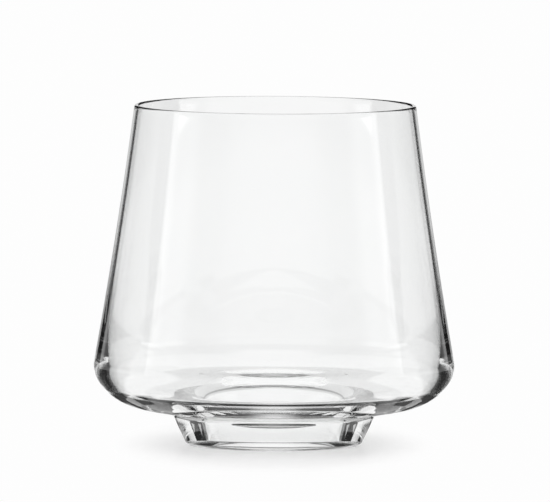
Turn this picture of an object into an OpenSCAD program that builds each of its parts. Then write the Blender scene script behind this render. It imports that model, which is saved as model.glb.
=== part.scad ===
// Double old fashioned glass: a bowl that tapers up to a thin rim, with a rounded shoulder
// and a heavy bottom, fused onto a small conical foot. The cavity dips into the foot as a well.
// The axis of the glass is Z and the table is the plane z = 0.

/* [Overall] */
// Height from the table to the top of the rim
glass_h = 89.5; // [80:0.5:105]
// Outer diameter at the rim
rim_d = 74.2; // [64:0.2:80]
// Largest outer diameter, at the shoulder
bowl_d = 95; // [90:0.5:105]

/* [Bowl outside] */
// Radius of the shoulder, from the wall down towards the underside
shoulder_r = 8; // [6:0.25:10]
// Radius of the broader curve that carries the shoulder into the underside
belly_r = 18; // [13:0.5:24]
// Angle below level at which the broader curve takes over from the shoulder
belly_from = 42; // [30:1:55]
// Slope of the underside where it runs in to the foot
underside_slope = 11; // [8:0.5:16]
// How far the outside of the wall is hollow, half way between shoulder and rim
wall_bow = 0.4; // [0:0.05:0.8]

/* [Bowl inside] */
// Thickness of the wall at the rim
rim_wall = 1.1; // [0.8:0.05:2]
// Height over which the extra thickness above the shoulder dies away
wall_fade = 11; // [6:0.5:16]
// Height above the seam at which the cove would level out
floor_t = 5.2; // [4.9:0.1:6.5]
// Width of the cove between the wall and the floor
cove_w = 15; // [10:0.5:17]
// Fullness of the cove: 2 gives an ellipse, more gives a squarer corner
cove_fullness = 2.6; // [2:0.1:3]
// Slope of the floor, down towards the well
floor_slope = 3; // [0:0.5:3.5]

/* [Well] */
// Diameter that the side of the well would reach at its floor
well_d = 35.2; // [32:0.2:38]
// Lean of the side of the well
well_lean = 14; // [11:0.5:18]
// Thickness of the glass under the well
well_floor_t = 3; // [2:0.1:4]
// Rounding of the lip where the floor turns down into the well
lip_r = 5; // [2:0.25:5.25]
// Rounding of the corner at the bottom of the well
well_corner_r = 0.5; // [0.3:0.1:2]

/* [Foot] */
// Height of the foot, up to the seam with the bowl
foot_h = 7.9; // [6.5:0.1:10]
// Diameter of the foot at the seam
seam_d = 53.4; // [50:0.2:58]
// Diameter that the sloping side would reach at the table
foot_base_d = 45.8; // [43:0.2:50]
// Rounding of the lower edge of the foot
foot_edge_r = 1.5; // [0.5:0.1:2.5]
// Diameter of the shallow hollow inside the standing ring
hollow_d = 37; // [28:0.5:39]
// Depth of the hollow at its middle
hollow_h = 0.5; // [0.2:0.1:1]

/* [Hidden] */
$fn = 180;
glass_color = [0.92, 0.95, 0.95, 0.45];
// Points along one rounding, one wall and one cove
arc_steps = 10;
wall_steps = 16;
cove_steps = 20;

// A point at an angle round a centre, an arc of such points, and an arc that rounds a corner
function polar(c, r, a) = c + r * [cos(a), sin(a)];
function arc(c, r, from, to, first = 0) =
    [for (i = [first : arc_steps]) polar(c, r, from + (to - from) * i / arc_steps)];
function unit(v) = v / norm(v);
function heading(v) = atan2(v.y, v.x);
function fillet(before, corner, after, r) =
    let (
        u = unit(before - corner),
        v = unit(after - corner),
        half = acos(u * v) / 2,
        c = corner + unit(u + v) * r / sin(half),
        from = heading(corner + u * r / tan(half) - c),
        to = heading(corner + v * r / tan(half) - c),
        turn = (to - from + 540) % 360 - 180
    )
    arc(c, r, from, from + turn);

// The shoulder, the broader curve and the underside touch without a crease, and the
// underside arrives at the edge of the seam: that sets the height of the shoulder
function underside_drop(from_r) = (from_r - seam_d / 2) * tan(underside_slope);
underside_angle = underside_slope - 90;
shoulder_c_r = bowl_d / 2 - shoulder_r;
belly_offset = polar([0, 0], shoulder_r - belly_r, -belly_from);
belly_end = belly_offset + polar([0, 0], belly_r, underside_angle);
shoulder_c = [shoulder_c_r, foot_h + underside_drop(shoulder_c_r + belly_end.x) - belly_end.y];
belly_c = shoulder_c + belly_offset;

// The wall leaves the shoulder along the line to the rim, turned by the bow of the wall
rim_edge = [rim_d / 2, glass_h - rim_wall / 2];
to_rim = rim_edge - shoulder_c;
chord_lean = heading(to_rim) - acos(shoulder_r / norm(to_rim));
wall_lean = chord_lean + atan(4 * wall_bow / norm(to_rim));
wall_foot = polar(shoulder_c, shoulder_r, wall_lean);
function wall_out(u) = wall_foot + (rim_edge - wall_foot) * u - [4 * wall_bow * u * (1 - u), 0];

// The wall thickens downwards until the cavity stands upright at the shoulder
wall_gain = wall_fade * tan(wall_lean);
function wall_t(z) = rim_wall + wall_gain * exp((wall_foot.y - z) / wall_fade);
function wall_in(u) = let (p = wall_out(u)) p - [wall_t(p.y), 0];

// A cove leads from the wall to the floor, which slopes on towards the well
floor_fall = tan(floor_slope);
cove_top = wall_in(0);
cove_h = cove_top.y - foot_h - floor_t;
function cove(a) =
    let (inset = cove_w * (1 - pow(cos(a), 2 / cove_fullness)))
    cove_top - [inset, cove_h * pow(sin(a), 2 / cove_fullness) + inset * floor_fall];
cove_end = cove(90);

// The side of the well meets the floor at the lip and crosses the seam on its way down
function well_side(z) = [well_d / 2 + (z - well_floor_t) * tan(well_lean), z];
lip_z = (cove_end.y - (cove_end.x - well_side(0).x) * floor_fall) / (1 - tan(well_lean) * floor_fall);
lip = well_side(lip_z);
well_corner = well_side(well_floor_t);
well_centre = [0, well_floor_t];
seam_in = well_side(foot_h);
seam_out = [seam_d / 2, foot_h];

bowl_outside = concat(
    [seam_out],
    arc(belly_c, belly_r, underside_angle, -belly_from),
    arc(shoulder_c, shoulder_r, -belly_from, wall_lean, 1),
    [for (i = [1 : wall_steps - 1]) wall_out(i / wall_steps)]
);
bowl_rim = arc(rim_edge - [rim_wall / 2, 0], rim_wall / 2, 0, 180);
bowl_inside = concat(
    [for (i = [wall_steps - 1 : -1 : 0]) wall_in(i / wall_steps)],
    [for (i = [1 : cove_steps]) cove(90 * i / cove_steps)],
    fillet(cove_end, lip, seam_in, lip_r),
    [seam_in]
);

// The foot is a shallow cup: the lower part of the well inside, a sloping side outside,
// and underneath a standing ring round a hollow that is part of a sphere
hollow_r = (pow(hollow_d / 2, 2) + pow(hollow_h, 2)) / (2 * hollow_h);
hollow_c = [0, hollow_h - hollow_r];
hollow_from = acos(hollow_d / 2 / hollow_r);
foot_outline = concat(
    [well_centre],
    fillet(well_centre, well_corner, seam_in, well_corner_r),
    [seam_in, seam_out],
    fillet(seam_out, [foot_base_d / 2, 0], [0, 0], foot_edge_r),
    arc(hollow_c, hollow_r, hollow_from, 90)
);

module bowl() {
    color(glass_color)
        rotate_extrude()
            polygon(concat(bowl_outside, bowl_rim, bowl_inside));
}

module foot() {
    color(glass_color)
        rotate_extrude()
            polygon(foot_outline);
}

bowl();
foot();
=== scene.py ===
"""A double old fashioned glass on a white table, lit as a bright field between two softboxes."""
import math

import bmesh
import bpy
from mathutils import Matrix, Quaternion, Vector


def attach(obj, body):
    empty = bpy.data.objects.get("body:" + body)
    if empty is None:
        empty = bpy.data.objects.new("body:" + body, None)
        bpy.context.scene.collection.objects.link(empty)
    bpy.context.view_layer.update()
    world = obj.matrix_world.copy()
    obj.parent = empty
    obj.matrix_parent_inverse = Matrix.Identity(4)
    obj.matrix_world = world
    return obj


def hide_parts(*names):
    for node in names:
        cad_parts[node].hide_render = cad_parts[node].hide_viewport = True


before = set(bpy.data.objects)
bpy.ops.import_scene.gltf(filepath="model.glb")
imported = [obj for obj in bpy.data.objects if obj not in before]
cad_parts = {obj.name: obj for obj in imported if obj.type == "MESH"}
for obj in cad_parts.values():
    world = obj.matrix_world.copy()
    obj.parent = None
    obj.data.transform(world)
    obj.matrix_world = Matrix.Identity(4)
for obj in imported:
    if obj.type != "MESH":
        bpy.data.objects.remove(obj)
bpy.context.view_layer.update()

scene = bpy.context.scene
MM = 0.001

# Sizes of the glass in millimetres and degrees, the same as in the part's source
GLASS_H = 89.5
RIM_D = 74.2
BOWL_D = 95.0
SHOULDER_R = 8.0
BELLY_R = 18.0
BELLY_FROM = 42.0
UNDERSIDE_SLOPE = 11.0
WALL_BOW = 0.4
RIM_WALL = 1.1
WALL_FADE = 11.0
FLOOR_T = 5.2
COVE_W = 15.0
COVE_FULLNESS = 2.6
FLOOR_SLOPE = 3.0
WELL_D = 35.2
WELL_LEAN = 14.0
WELL_FLOOR_T = 3.0
LIP_R = 5.0
WELL_CORNER_R = 0.5
FOOT_H = 7.9
SEAM_D = 53.4
FOOT_BASE_D = 45.8
FOOT_EDGE_R = 1.5
HOLLOW_D = 37.0
HOLLOW_H = 0.5

# Steps of the turned meshes: round the axis, and along one arc, the wall and the cove
ROUND_STEPS = 512
ARC_STEPS = 24
WALL_STEPS = 60
COVE_STEPS = 48
CREASE_DEG = 35.0

# The glass itself: a very slight waver of the surface, and a tint that is hardly there
GLASS_IOR = 1.52
WAVE_SCALE = 22.0
WAVE_DETAIL = 1.0
WAVE_DEPTH = 0.000002
TINT_SCALE = 60.0
TINTS = ((1.0, 1.0, 1.0, 1), (0.985, 0.992, 0.99, 1))

# The picture, and the camera that took it
PICTURE_W = 550
SENSOR_MM = 36.0
PX_PER_MM = 3.802
CAMERA_DISTANCE = 5.0
CAMERA_ELEVATION = 4.1
CAMERA_ROLL = 0.27
CLIP_END = 100.0
AIM_X = 0.0001
AIM_Z = 0.051

# Bounces that the thick bottom needs
MAX_BOUNCES = 32
TRANSMISSION_BOUNCES = 32
GLOSSY_BOUNCES = 24

# The stage, in metres and degrees. An edge is a place and its softness, and a band is two edges.
# White for the eye, full light, and painted dark for light thrown more than so many times
WHITE = 0.985
FULL = 1.0
LOST_AFTER = 15
LOST = 0.08

# The table for the eye, and the share of its own shading that shows as a shadow
TABLE_R = 0.34
TABLE_SEGMENTS = 96
TABLE_ROUGHNESS = 0.35
TABLE_SPECULAR = 0.15
GRAIN_SCALE = 300.0
GRAIN_WHITE = 0.975
SHADOW_SHARE = 0.5
SHADOW_TO = (0.033, 0.010)
SHADOW_STRETCH = 0.45

# The table straight through the glass, with painted shade close behind it and a painted dark line of shade
# under the belly
TABLE_LEVEL = 0.93
BEHIND_FROM = (0.0, 0.014)
SHADE_TO = (0.055, 0.002)
SHADE = 0.72
LINE_RING = ((0.0415, 0.001), (0.0465, 0.001))
LINE_SHADE = 0.35

# The table for thrown light, with painted light and shade that the eye does not see: painted dark patches on
# both sides behind, paler for light that has passed many faces, a grey distance, and painted pools of light
# under the softboxes
PAINTED_DARK_FROM = (0.042, 0.003)
PAINTED_DARK_AZIMUTH = (87.0, 3.0)
PAINTED_DARK = 0.04
DEEP_AFTER = 3
DEEP_PAINTED_DARK_FROM = (0.038, 0.004)
DEEP_PAINTED_DARK = 0.5
FAR_FROM = (0.19, 0.04)
FAR = 0.6
POOL_FROM = (0.274, 0.008)
POOL_AZIMUTHS = ((85.5, 1.5), (104.0, 8.0))
POOL = 2.0

# The table for thrown light, close to the glass: painted shade under the belly, and painted rings of shade
# round the foot and under the belly
BELLY_SHADE_R = 0.0424
BELLY_SHADE_FRONT = 0.88
BELLY_SHADE_BACK = 0.45
RING_SHADE = 0.03
RING_AZIMUTH = (92.0, 3.0)
RING_FROM = (0.027, 0.0007)
RING_TO = (0.0325, 0.0012)
RING_SPREAD = 0.0001
FOOT_RING = ((0.0235, 0.001), (0.0288, 0.0006))
WIDE_RING = ((0.0235, 0.001), (0.0424, 0.001))
WIDE_RING_AZIMUTH = (125.0, 4.0)
BELLY_RING = ((0.0395, 0.0005), (0.0475, 0.0005))
BELLY_AZIMUTH = (111.0, 1.5)
BELLY_GAP = ((77.0, 1.5), (94.0, 1.5))

# The table for thrown light, under the foot: painted shade, paler in front, and pale for light thrown five
# times
UNDER_FOOT_R = 0.0225
UNDER_FOOT = 0.12
UNDER_FRONT_AZIMUTH = (164.0, 14.0)
UNDER_FRONT = 0.75
UNDER_DISC_TO = (0.0195, 0.0008)
UNDER_DISC = 0.3
PALE_THROWS = 5
UNDER_PALE = 0.75

# A white panel close behind the glass. Its uppermost strip, which shows inside the rim, is a little darker,
# most of all towards the sides
PANEL_Y = 0.054
PANEL_HALF_W = 0.059
PANEL_H = 0.0892
PANEL_LEVEL = 0.99
ONE_WALL = 2
STRIP_FROM = (0.060, 0.001)
STRIP = 0.965
STRIP_SIDE_FROM = (0.022, 0.006)
STRIP_SIDE = 0.84

# For thrown light the panel is wider, with painted grey margins above its low part that taper upwards, and its
# top is painted greyer. Light thrown more than once meets a painted dark bar on both sides, and light thrown
# more than twice finds the upper part painted dark
MARGIN_Z = (0.0205, 0.001)
MARGIN_FROM = (0.0515, 0.0015)
MARGIN_TO = 0.0676
MARGIN_TAPER = 0.12
MARGIN = 0.6
TOP_FROM = (0.058, 0.006)
TOP = 0.75
BAR_Z = ((0.0225, 0.001), (0.0305, 0.001))
BAR_X = ((0.008, 0.001), (0.036, 0.001))
BAR = 0.12
UPPER_FROM = (0.046, 0.002)
UPPER_TO = (0.030, 0.002)
UPPER = 0.05

# Low dark flags on both sides behind the glass, painted darkness that is clear to the eye and to the table's
# light
FLAG_R = 0.085
FLAG_AZIMUTHS = (36.0, 66.0)
FLAG_H = 0.011
FLAG_STEPS = 10
FLAG = 0.02

# The room round the glass: levels, azimuths counted from straight behind the glass, and elevations.
# Mirrored light is reflected off the outside of the glass, and bent light has been inside it; the room shows
# them different levels, which paints light and shade into the glass
GAP = 0.03
EDGE = 0.9
SIDE = 0.53
FLANK = 0.5
BENT_SIDE = 0.08
THROWN_SIDE = 0.55
BENT_FLANK = 0.45
SOFTBOX_EDGE = 1.5
SOFTBOX = 0.72
FRONT_NEAR = 0.27
FRONT = 0.57
HIGH = 0.03
OPEN = 0.95
BACK_TO = (8.0, 1.0)
EDGE_FROM = (29.5, 1.5)
GAP_TO = (35.5, 1.5)
BENT_FLANK_FROM = (50.0, 3.0)
OPEN_FROM = (55.0, 3.0)
FLANK_FROM = (69.0, 8.0)
SOFTBOX_FROM = (88.5, 1.0)
SOFTBOX_EDGE_TO = (93.5, 6.0)
SOFTBOX_TO = (115.0, 7.0)
BENT_FRONT_FROM = (140.0, 8.0)
FRONT_FROM = (150.0, 12.0)
SIDE_TOP = (3.2, 3.0)
BACK_TOP = (10.0, 3.0)
BENT_SIDE_TOP = (11.0, 3.0)
SOFTBOX_TOP = (16.0, 5.0)
BENT_FRONT_TOP = (26.0, 4.0)
FRONT_TOP = (36.0, 4.0)
CEILING_FROM = (71.0, 5.0)


# Outline of the glass
def sin(a): return math.sin(math.radians(a))
def cos(a): return math.cos(math.radians(a))
def tan(a): return math.tan(math.radians(a))


def polar(c, r, a):
    return (c[0] + r * cos(a), c[1] + r * sin(a))


def arc(c, r, start, end):
    return [polar(c, r, start + (end - start) * i / ARC_STEPS) for i in range(ARC_STEPS + 1)]


def fillet(before, corner, after, r):
    """Arc of radius r that rounds a corner between two straight lines."""
    p, a, b = Vector(corner), Vector(before), Vector(after)
    u, v = (a - p).normalized(), (b - p).normalized()
    half = u.angle(v) / 2
    centre = p + (u + v).normalized() * (r / math.sin(half))
    reach = r / math.tan(half)
    start, end = p + u * reach - centre, p + v * reach - centre
    first = math.degrees(math.atan2(start.y, start.x))
    sweep = (math.degrees(math.atan2(end.y, end.x)) - first + 180) % 360 - 180
    return arc(centre, r, first, first + sweep)


def outlines():
    """The bowl and the foot as lists of (radius, height), and the points where they meet."""
    underside = UNDERSIDE_SLOPE - 90
    shoulder_x = BOWL_D / 2 - SHOULDER_R
    offset = polar((0, 0), SHOULDER_R - BELLY_R, -BELLY_FROM)
    belly_end = polar(offset, BELLY_R, underside)
    drop = (shoulder_x + belly_end[0] - SEAM_D / 2) * tan(UNDERSIDE_SLOPE)
    shoulder = (shoulder_x, FOOT_H + drop - belly_end[1])
    belly = (shoulder[0] + offset[0], shoulder[1] + offset[1])

    rim = Vector((RIM_D / 2, GLASS_H - RIM_WALL / 2))
    to_rim = rim - Vector(shoulder)
    lean = math.degrees(math.atan2(to_rim.y, to_rim.x) - math.acos(SHOULDER_R / to_rim.length)
                        + math.atan(4 * WALL_BOW / to_rim.length))
    wall_foot = Vector(polar(shoulder, SHOULDER_R, lean))
    gain = WALL_FADE * tan(lean)

    def wall_out(u):
        p = wall_foot.lerp(rim, u)
        return (p.x - 4 * WALL_BOW * u * (1 - u), p.y)

    def wall_in(u):
        r, z = wall_out(u)
        return (r - RIM_WALL - gain * math.exp((wall_foot.y - z) / WALL_FADE), z)

    cove_top = wall_in(0)
    cove_h = cove_top[1] - FOOT_H - FLOOR_T

    def cove(a):
        inset = COVE_W * (1 - max(cos(a), 0) ** (2 / COVE_FULLNESS))
        depth = cove_h * sin(a) ** (2 / COVE_FULLNESS)
        return (cove_top[0] - inset, cove_top[1] - depth - inset * tan(FLOOR_SLOPE))

    floor_end = cove(90)
    well_r = WELL_D / 2 - WELL_FLOOR_T * tan(WELL_LEAN)
    lip_z = ((floor_end[1] - (floor_end[0] - well_r) * tan(FLOOR_SLOPE))
             / (1 - tan(WELL_LEAN) * tan(FLOOR_SLOPE)))
    lip, corner, seam_in = ((well_r + z * tan(WELL_LEAN), z) for z in (lip_z, WELL_FLOOR_T, FOOT_H))
    well_centre = (0, WELL_FLOOR_T)
    seam_out = (SEAM_D / 2, FOOT_H)
    hollow_r = ((HOLLOW_D / 2) ** 2 + HOLLOW_H ** 2) / (2 * HOLLOW_H)
    hollow_from = math.degrees(math.acos(HOLLOW_D / 2 / hollow_r))

    steps = [i / WALL_STEPS for i in range(WALL_STEPS + 1)]
    bowl = ([seam_out] + arc(belly, BELLY_R, underside, -BELLY_FROM)
            + arc(shoulder, SHOULDER_R, -BELLY_FROM, lean)[1:]
            + [wall_out(u) for u in steps[1:-1]]
            + arc((rim.x - RIM_WALL / 2, rim.y), RIM_WALL / 2, 0, 180)
            + [wall_in(u) for u in steps[-2::-1]]
            + [cove(90 * i / COVE_STEPS) for i in range(1, COVE_STEPS + 1)]
            + fillet(floor_end, lip, corner, LIP_R) + [seam_in])
    foot = ([well_centre] + fillet(well_centre, corner, seam_in, WELL_CORNER_R) + [seam_in, seam_out]
            + fillet(seam_out, (FOOT_BASE_D / 2, 0), (0, 0), FOOT_EDGE_R)
            + arc((0, HOLLOW_H - hollow_r), hollow_r, hollow_from, 90)[:-1] + [(0, HOLLOW_H)])
    return bowl, foot, (seam_in, seam_out)


# Node building
def add(tree, kind, inputs=None, **settings):
    """A shader node with its settings, and inputs given as sockets or plain values."""
    made = tree.nodes.new(kind)
    for name, value in settings.items():
        setattr(made, name, value)
    for name, value in (inputs or {}).items():
        if isinstance(value, bpy.types.NodeSocket):
            tree.links.new(value, made.inputs[name])
        else:
            made.inputs[name].default_value = value
    return made


def calc(tree, operation, *values):
    return add(tree, "ShaderNodeMath", dict(enumerate(values)), operation=operation).outputs[0]


def length(tree, vector):
    return add(tree, "ShaderNodeVectorMath", {0: vector}, operation='LENGTH').outputs["Value"]


def parts(tree, vector):
    """The x, y and z of a vector."""
    return tuple(add(tree, "ShaderNodeSeparateXYZ", {0: vector}).outputs)


def flip(tree, flag):
    return calc(tree, 'SUBTRACT', 1.0, flag)


def both(tree, first, second):
    return calc(tree, 'MULTIPLY', first, second)


def without(tree, first, second):
    """The first flag, but 0 where the second is 1."""
    return calc(tree, 'MAXIMUM', calc(tree, 'SUBTRACT', first, second), 0.0)


def rise(tree, value, edge):
    """0 before an edge and 1 beyond it, with a soft change between."""
    place, soft = edge
    limits = {"Value": value, "From Min": place - soft, "From Max": place + soft}
    return add(tree, "ShaderNodeMapRange", limits, interpolation_type='SMOOTHSTEP').outputs["Result"]


def between(tree, value, band):
    """1 inside a band and 0 outside it."""
    first, last = band
    return calc(tree, 'SUBTRACT', rise(tree, value, first), rise(tree, value, last))


def choose(tree, flag, first, second):
    """The first value where the flag is 1, and the second where it is 0."""
    return add(tree, "ShaderNodeMix", {"Factor": flag, "A": second, "B": first}).outputs["Result"]


def past(tree, value, edge, beyond, before):
    """One value beyond an edge and another before it."""
    return choose(tree, rise(tree, value, edge), beyond, before)


class Rays:
    """How a ray comes to the eye: by way of the glass and nothing else or not, and how often it was thrown
    back by a face of the glass or passed through one."""

    def __init__(self, tree):
        path = add(tree, "ShaderNodeLightPath").outputs
        bent = calc(tree, 'MAXIMUM', path["Is Glossy Ray"], path["Is Transmission Ray"])
        self.tree = tree
        self.to_camera = path["Is Camera Ray"]
        self.by_glass = both(tree, bent, calc(tree, 'LESS_THAN', path["Diffuse Depth"], 0.5))
        self.throws = path["Glossy Depth"]
        self.passes = path["Transmission Depth"]

    def thrown_over(self, times):
        return calc(self.tree, 'GREATER_THAN', self.throws, times + 0.5)

    def thrown_just(self, times):
        return calc(self.tree, 'COMPARE', self.throws, times, 0.5)

    def passed_over(self, times):
        return calc(self.tree, 'GREATER_THAN', self.passes, times + 0.5)


def new_material(name):
    mat = bpy.data.materials.new(name)
    mat.use_nodes = True
    return mat, mat.node_tree


def set_surface(tree, shader):
    """Puts a shader in place of the one that a material starts with."""
    tree.links.new(shader.outputs[0], tree.nodes["Material Output"].inputs["Surface"])


def glow_where(tree, flag, level):
    """A surface that shines where the flag is 1 and is clear where it is 0."""
    tree.nodes.remove(tree.nodes["Principled BSDF"])
    clear = add(tree, "ShaderNodeBsdfTransparent")
    glow = add(tree, "ShaderNodeEmission", {"Strength": level})
    set_surface(tree, add(tree, "ShaderNodeMixShader", {0: flag, 1: clear.outputs[0], 2: glow.outputs[0]}))


# Glass
def clear_glass():
    """Colourless glass whose surface wavers a very little, as blown glass does."""
    mat, tree = new_material("clear_glass")
    shader = tree.nodes["Principled BSDF"]
    shader.inputs["Transmission Weight"].default_value = 1.0
    shader.inputs["Roughness"].default_value = 0.0
    shader.inputs["IOR"].default_value = GLASS_IOR
    place = add(tree, "ShaderNodeTexCoord").outputs["Object"]
    wave = add(tree, "ShaderNodeTexNoise", {"Vector": place, "Scale": WAVE_SCALE, "Detail": WAVE_DETAIL})
    bump = add(tree, "ShaderNodeBump", {"Strength": 1.0, "Distance": WAVE_DEPTH, "Height": wave.outputs[0]})
    tree.links.new(bump.outputs[0], shader.inputs["Normal"])
    cloud = add(tree, "ShaderNodeTexNoise", {"Vector": place, "Scale": TINT_SCALE})
    tint = add(tree, "ShaderNodeMix", {"Factor": cloud.outputs[0]}, data_type='RGBA')
    tint.inputs["A"].default_value, tint.inputs["B"].default_value = TINTS
    tree.links.new(tint.outputs["Result"], shader.inputs["Base Color"])
    return mat


def fused_seam():
    """The face where bowl and foot are fused: light passes it undisturbed."""
    mat, tree = new_material("fused_seam")
    tree.nodes.remove(tree.nodes["Principled BSDF"])
    set_surface(tree, add(tree, "ShaderNodeBsdfTransparent"))
    return mat


def turn(name, outline, closed, seam_points, materials):
    """Turns an outline about Z into a closed mesh; the faces on the seam get the second material."""
    bm = bmesh.new()
    rings = []
    for r, z in outline:
        count = ROUND_STEPS if r > 0 else 1
        turns = [360 * k / count for k in range(count)]
        rings.append([bm.verts.new((r * MM * cos(a), r * MM * sin(a), z * MM)) for a in turns])
    pairs = list(zip(range(len(rings)), range(1, len(rings))))
    if closed:
        pairs.append((len(rings) - 1, 0))
    for i, j in pairs:
        on_seam = {outline[i], outline[j]} == set(seam_points)
        for k in range(ROUND_STEPS):
            corners = [rings[i][k % len(rings[i])], rings[i][(k + 1) % len(rings[i])],
                       rings[j][(k + 1) % len(rings[j])], rings[j][k % len(rings[j])]]
            face = bm.faces.new(list(dict.fromkeys(corners)))
            face.smooth = True
            face.material_index = int(on_seam)
    bmesh.ops.recalc_face_normals(bm, faces=bm.faces)
    piece = linked_mesh(name, bm, materials)
    piece.data.set_sharp_from_angle(angle=math.radians(CREASE_DEG))
    return piece


def linked_mesh(name, bm, materials):
    mesh = bpy.data.meshes.new(name)
    bm.to_mesh(mesh)
    bm.free()
    for mat in materials:
        mesh.materials.append(mat)
    piece = bpy.data.objects.new(name, mesh)
    scene.collection.objects.link(piece)
    return piece


bowl_outline, foot_outline, seam = outlines()
glass_materials = [clear_glass(), fused_seam()]
for node, outline, closed in (("bowl", bowl_outline, True), ("foot", foot_outline, False)):
    piece = turn(node + "_glass", outline, closed, seam, glass_materials)
    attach(piece, "root")
    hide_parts(node)


# Stage. Its levels for the glass depend on how often a ray was reflected in or passed through the glass,
# so the dark edges, bands and highlights in the glass are partly painted light and shade.
def studio():
    """White for the eye, even for the table, and for the glass a white back, two softboxes and a grey room."""
    world = bpy.data.worlds.new("studio")
    scene.world = world
    world.use_nodes = True
    tree = world.node_tree
    rays = Rays(tree)
    x, y, z = parts(tree, add(tree, "ShaderNodeTexCoord").outputs["Generated"])
    azimuth = calc(tree, 'DEGREES', calc(tree, 'ABSOLUTE', calc(tree, 'ARCTAN2', x, y)))
    elevation = calc(tree, 'DEGREES', calc(tree, 'ARCSINE', z))
    # Light reflected off the glass, bent through it or thrown about inside it meets different levels from the
    # same direction: painted light and shade in the glass
    thrown, mirrored = rays.thrown_over(0), flip(tree, rays.passed_over(0))

    # The parts of the room, going round from the back: white, a gap that only the outside of the glass
    # sees lit, a low pale side, the softbox, and the front
    back = past(tree, elevation, BACK_TOP, GAP, FULL)
    gap = choose(tree, both(tree, mirrored, rise(tree, azimuth, EDGE_FROM)), EDGE, GAP)
    seen = past(tree, azimuth, FLANK_FROM, FLANK, SIDE)
    seen = past(tree, elevation, SIDE_TOP, HIGH, seen)
    bent = choose(tree, thrown, THROWN_SIDE, BENT_SIDE)
    bent = past(tree, azimuth, BENT_FLANK_FROM, BENT_FLANK, bent)
    bent = past(tree, elevation, BENT_SIDE_TOP, HIGH, bent)
    side = choose(tree, mirrored, seen, bent)
    glow = past(tree, azimuth, SOFTBOX_EDGE_TO, SOFTBOX, SOFTBOX_EDGE)
    softbox = choose(tree, rays.passed_over(ONE_WALL), FULL, glow)
    softbox = past(tree, elevation, SOFTBOX_TOP, HIGH, softbox)
    seen = past(tree, azimuth, FRONT_FROM, FRONT, FRONT_NEAR)
    seen = past(tree, elevation, FRONT_TOP, HIGH, seen)
    bent = past(tree, azimuth, BENT_FRONT_FROM, FRONT, FRONT_NEAR)
    bent = past(tree, elevation, BENT_FRONT_TOP, HIGH, bent)
    front = choose(tree, mirrored, seen, bent)

    # The whole room, which is open to light that goes straight through the glass, and has a white ceiling
    level = past(tree, azimuth, BACK_TO, gap, back)
    level = past(tree, azimuth, GAP_TO, side, level)
    level = past(tree, azimuth, SOFTBOX_FROM, softbox, level)
    level = past(tree, azimuth, SOFTBOX_TO, front, level)
    straight = flip(tree, calc(tree, 'MAXIMUM', mirrored, thrown))
    level = choose(tree, both(tree, straight, rise(tree, azimuth, OPEN_FROM)), OPEN, level)
    # Painted dark for light thrown more than so many times
    level = choose(tree, rays.thrown_over(LOST_AFTER), LOST, level)
    level = past(tree, elevation, CEILING_FROM, FULL, level)
    level = choose(tree, rays.to_camera, WHITE, choose(tree, rays.by_glass, level, FULL))
    tree.links.new(level, tree.nodes["Background"].inputs["Strength"])
    tree.nodes["Background"].inputs["Color"].default_value = (1, 1, 1, 1)


def stage_piece(name, bm, mat):
    linked_mesh(name, bm, [mat])


def shaded_table(tree, place):
    """The table for the eye: a pale surface that shines like the background, and shows up to half its real
    shading from the lamps only inside a painted patch round the foot, so the shadow is soft, close to the foot
    and longer towards the eye than to the sides."""
    shader = tree.nodes["Principled BSDF"]
    shader.inputs["Roughness"].default_value = TABLE_ROUGHNESS
    shader.inputs["Specular IOR Level"].default_value = TABLE_SPECULAR
    grain = add(tree, "ShaderNodeTexNoise", {"Vector": place, "Scale": GRAIN_SCALE})
    colour = add(tree, "ShaderNodeMix", {"Factor": grain.outputs[0]}, data_type='RGBA')
    colour.inputs["A"].default_value = (WHITE, WHITE, WHITE, 1)
    colour.inputs["B"].default_value = (GRAIN_WHITE, GRAIN_WHITE, GRAIN_WHITE, 1)
    tree.links.new(colour.outputs["Result"], shader.inputs["Base Color"])
    glow = add(tree, "ShaderNodeEmission", {"Color": (WHITE, WHITE, WHITE, 1)})
    # The painted reach of the shadow: a patch round the foot, stretched front to back
    stretch = add(tree, "ShaderNodeVectorMath", {0: place, 1: (1, SHADOW_STRETCH, 1)}, operation='MULTIPLY')
    shadow = flip(tree, rise(tree, length(tree, stretch.outputs[0]), SHADOW_TO))
    share = calc(tree, 'MULTIPLY', SHADOW_SHARE, shadow)
    return add(tree, "ShaderNodeMixShader", {0: share, 1: glow.outputs[0], 2: shader.outputs[0]})


def table_straight(tree, place):
    """The level of the table straight through the glass, with painted shade behind the glass and under the
    belly.
    """
    radius, back = length(tree, place), parts(tree, place)[1]
    behind = rise(tree, back, BEHIND_FROM)
    shade = both(tree, behind, flip(tree, rise(tree, radius, SHADE_TO)))
    level = choose(tree, shade, SHADE, TABLE_LEVEL)
    return choose(tree, both(tree, behind, between(tree, radius, LINE_RING)), LINE_SHADE, level)


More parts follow.
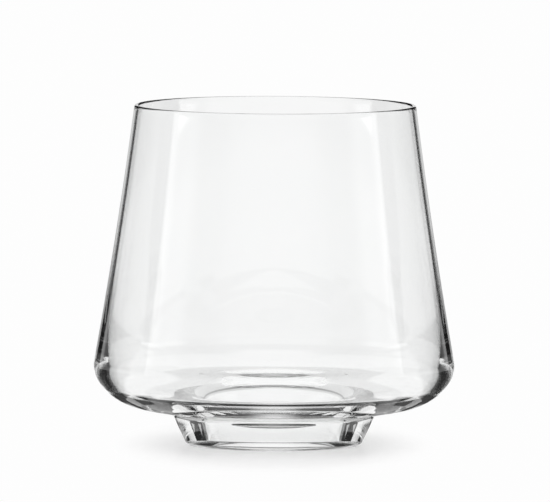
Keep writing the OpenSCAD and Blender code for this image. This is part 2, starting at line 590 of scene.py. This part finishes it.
def table_thrown(tree, place, rays):
    """The level, with painted light and shade, of the table for light that is thrown about inside the glass or
    reflected off it.
    """
    x, back, _ = parts(tree, place)
    aside, radius = calc(tree, 'ABSOLUTE', x), length(tree, place)
    azimuth = calc(tree, 'DEGREES', calc(tree, 'ARCTAN2', aside, back))

    # The painted dark patches, the distance and the painted pools of light
    deep = rays.passed_over(DEEP_AFTER)
    painted_dark = without(tree, rise(tree, aside, PAINTED_DARK_FROM), rise(tree, azimuth, PAINTED_DARK_AZIMUTH))
    deep_painted_dark = both(tree, rise(tree, aside, PAINTED_DARK_FROM), rise(tree, back, DEEP_PAINTED_DARK_FROM))
    level = past(tree, radius, FAR_FROM, FAR, TABLE_LEVEL)
    level = choose(tree, choose(tree, deep, deep_painted_dark, painted_dark), choose(tree, deep, DEEP_PAINTED_DARK, PAINTED_DARK), level)
    pool = both(tree, rise(tree, radius, POOL_FROM), between(tree, azimuth, POOL_AZIMUTHS))
    level = choose(tree, pool, POOL, level)

    # The painted shade under the belly, and the painted rings of shade round the foot, which are wider in the
    # light reflected off the outside
    in_front = calc(tree, 'LESS_THAN', back, 0.0)
    belly_shade = choose(tree, in_front, BELLY_SHADE_FRONT, BELLY_SHADE_BACK)
    level = choose(tree, calc(tree, 'LESS_THAN', radius, BELLY_SHADE_R), belly_shade, level)
    on_ring = rise(tree, azimuth, RING_AZIMUTH)
    spread = calc(tree, 'MULTIPLY_ADD', calc(tree, 'SUBTRACT', azimuth, 180.0), RING_SPREAD, radius)
    ring = without(tree, rise(tree, radius, RING_FROM), rise(tree, spread, RING_TO))
    wide_ring = both(tree, between(tree, radius, WIDE_RING), rise(tree, azimuth, WIDE_RING_AZIMUTH))
    foot_ring = both(tree, between(tree, radius, FOOT_RING), on_ring)
    outside_rings = calc(tree, 'MAXIMUM', wide_ring, foot_ring)
    ring = choose(tree, rays.passed_over(0), both(tree, ring, on_ring), outside_rings)
    level = choose(tree, ring, RING_SHADE, level)

    # The painted ring of shade under the belly, with a painted lit gap, and the painted shade under the foot
    belly = both(tree, between(tree, radius, BELLY_RING), flip(tree, rise(tree, azimuth, BELLY_AZIMUTH)))
    level = choose(tree, belly, choose(tree, between(tree, azimuth, BELLY_GAP), TABLE_LEVEL, RING_SHADE), level)
    under = past(tree, radius, UNDER_DISC_TO, UNDER_FRONT, UNDER_DISC)
    under = past(tree, azimuth, UNDER_FRONT_AZIMUTH, under, UNDER_FOOT)
    under = choose(tree, rays.thrown_just(PALE_THROWS), UNDER_PALE, under)
    level = choose(tree, calc(tree, 'LESS_THAN', radius, UNDER_FOOT_R), under, level)
    # Painted dark for light thrown more than so many times
    return choose(tree, rays.thrown_over(LOST_AFTER), LOST, level)


def table_top():
    """A pale table round the glass that fades into the white background, and where it is seen by way of the
    glass glows with painted light and shade."""
    mat, tree = new_material("table_white")
    place = add(tree, "ShaderNodeTexCoord").outputs["Object"]
    rays = Rays(tree)
    level = choose(tree, rays.thrown_over(0), table_thrown(tree, place, rays), table_straight(tree, place))
    for_eye, for_glass = shaded_table(tree, place), add(tree, "ShaderNodeEmission", {"Strength": level})
    shaders = {0: rays.by_glass, 1: for_eye.outputs[0], 2: for_glass.outputs[0]}
    set_surface(tree, add(tree, "ShaderNodeMixShader", shaders))
    bm = bmesh.new()
    bmesh.ops.create_circle(bm, cap_ends=True, segments=TABLE_SEGMENTS, radius=TABLE_R)
    stage_piece("table", bm, mat)


def back_panel():
    """A white panel close behind the glass, so narrow that the dark room beside it draws the edges."""
    mat, tree = new_material("back_panel")
    rays = Rays(tree)
    x, _, height = parts(tree, add(tree, "ShaderNodeTexCoord").outputs["Object"])
    aside = calc(tree, 'ABSOLUTE', x)
    tapered = calc(tree, 'MULTIPLY_ADD', height, MARGIN_TAPER, aside)
    thrown = rays.thrown_over(0)

    # For thrown light, painted shade: the core with its greyer top, dark bars and dark upper part, and the
    # grey margins
    core = past(tree, height, TOP_FROM, TOP, PANEL_LEVEL)
    bar = both(tree, between(tree, height, BAR_Z), between(tree, aside, BAR_X))
    core = choose(tree, both(tree, bar, rays.thrown_over(1)), BAR, core)
    upper = without(tree, rise(tree, height, UPPER_FROM), rise(tree, aside, UPPER_TO))
    core = choose(tree, both(tree, upper, rays.thrown_over(2)), UPPER, core)
    # Painted dark for light thrown more than so many times
    core = choose(tree, rays.thrown_over(LOST_AFTER), LOST, core)
    widened = both(tree, thrown, rise(tree, height, MARGIN_Z))
    on_margin = both(tree, widened, rise(tree, tapered, MARGIN_FROM))

    # For the rest: the strip inside the rim, behind one wall only
    strip = past(tree, aside, STRIP_SIDE_FROM, STRIP_SIDE, STRIP)
    on_strip = both(tree, flip(tree, rays.passed_over(ONE_WALL)), rise(tree, height, STRIP_FROM))
    straight = choose(tree, on_strip, strip, PANEL_LEVEL)

    level = choose(tree, thrown, choose(tree, on_margin, MARGIN, core), straight)
    narrow = calc(tree, 'LESS_THAN', aside, PANEL_HALF_W)
    wide = calc(tree, 'LESS_THAN', tapered, MARGIN_TO)
    glow_where(tree, both(tree, rays.by_glass, choose(tree, widened, wide, narrow)), level)
    bm = bmesh.new()
    half_w = MARGIN_TO - MARGIN_TAPER * MARGIN_Z[0]
    corners = ((-half_w, 0), (half_w, 0), (half_w, PANEL_H), (-half_w, PANEL_H))
    bm.faces.new([bm.verts.new((x, PANEL_Y, z)) for x, z in corners])
    stage_piece("back_panel", bm, mat)


def side_flags():
    """Two low dark flags of painted darkness, which only light thrown about inside the glass can meet."""
    mat, tree = new_material("side_flag")
    rays = Rays(tree)
    inside = both(tree, rays.passed_over(0), rays.thrown_over(0))
    glow_where(tree, both(tree, rays.by_glass, inside), FLAG)
    bm = bmesh.new()
    first, last = FLAG_AZIMUTHS
    turns = [first + (last - first) * i / FLAG_STEPS for i in range(FLAG_STEPS + 1)]
    for sign in (-1, 1):
        low, high = [[bm.verts.new((sign * FLAG_R * sin(a), FLAG_R * cos(a), h)) for a in turns]
                     for h in (0, FLAG_H)]
        for i in range(FLAG_STEPS):
            bm.faces.new((low[i], low[i + 1], high[i + 1], high[i]))
    stage_piece("side_flags", bm, mat)


def camera():
    """A long lens, so that a millimetre at the axis of the glass is PX_PER_MM pixels."""
    data = bpy.data.cameras.new("camera")
    data.sensor_width = SENSOR_MM
    data.lens = PX_PER_MM * CAMERA_DISTANCE / MM / PICTURE_W * SENSOR_MM
    data.clip_end = CLIP_END
    cam = bpy.data.objects.new("camera", data)
    back = Vector((0, -cos(CAMERA_ELEVATION), sin(CAMERA_ELEVATION)))
    cam.location = Vector((AIM_X, 0, AIM_Z)) + back * CAMERA_DISTANCE
    level = (-back).to_track_quat('-Z', 'Y')
    cam.rotation_euler = (level @ Quaternion((0, 0, 1), math.radians(CAMERA_ROLL))).to_euler()
    scene.collection.objects.link(cam)
    scene.camera = cam


studio()
table_top()
back_panel()
side_flags()
camera()
scene.view_settings.view_transform = 'Standard'
scene.cycles.max_bounces = MAX_BOUNCES
scene.cycles.transmission_bounces = TRANSMISSION_BOUNCES
scene.cycles.glossy_bounces = GLOSSY_BOUNCES
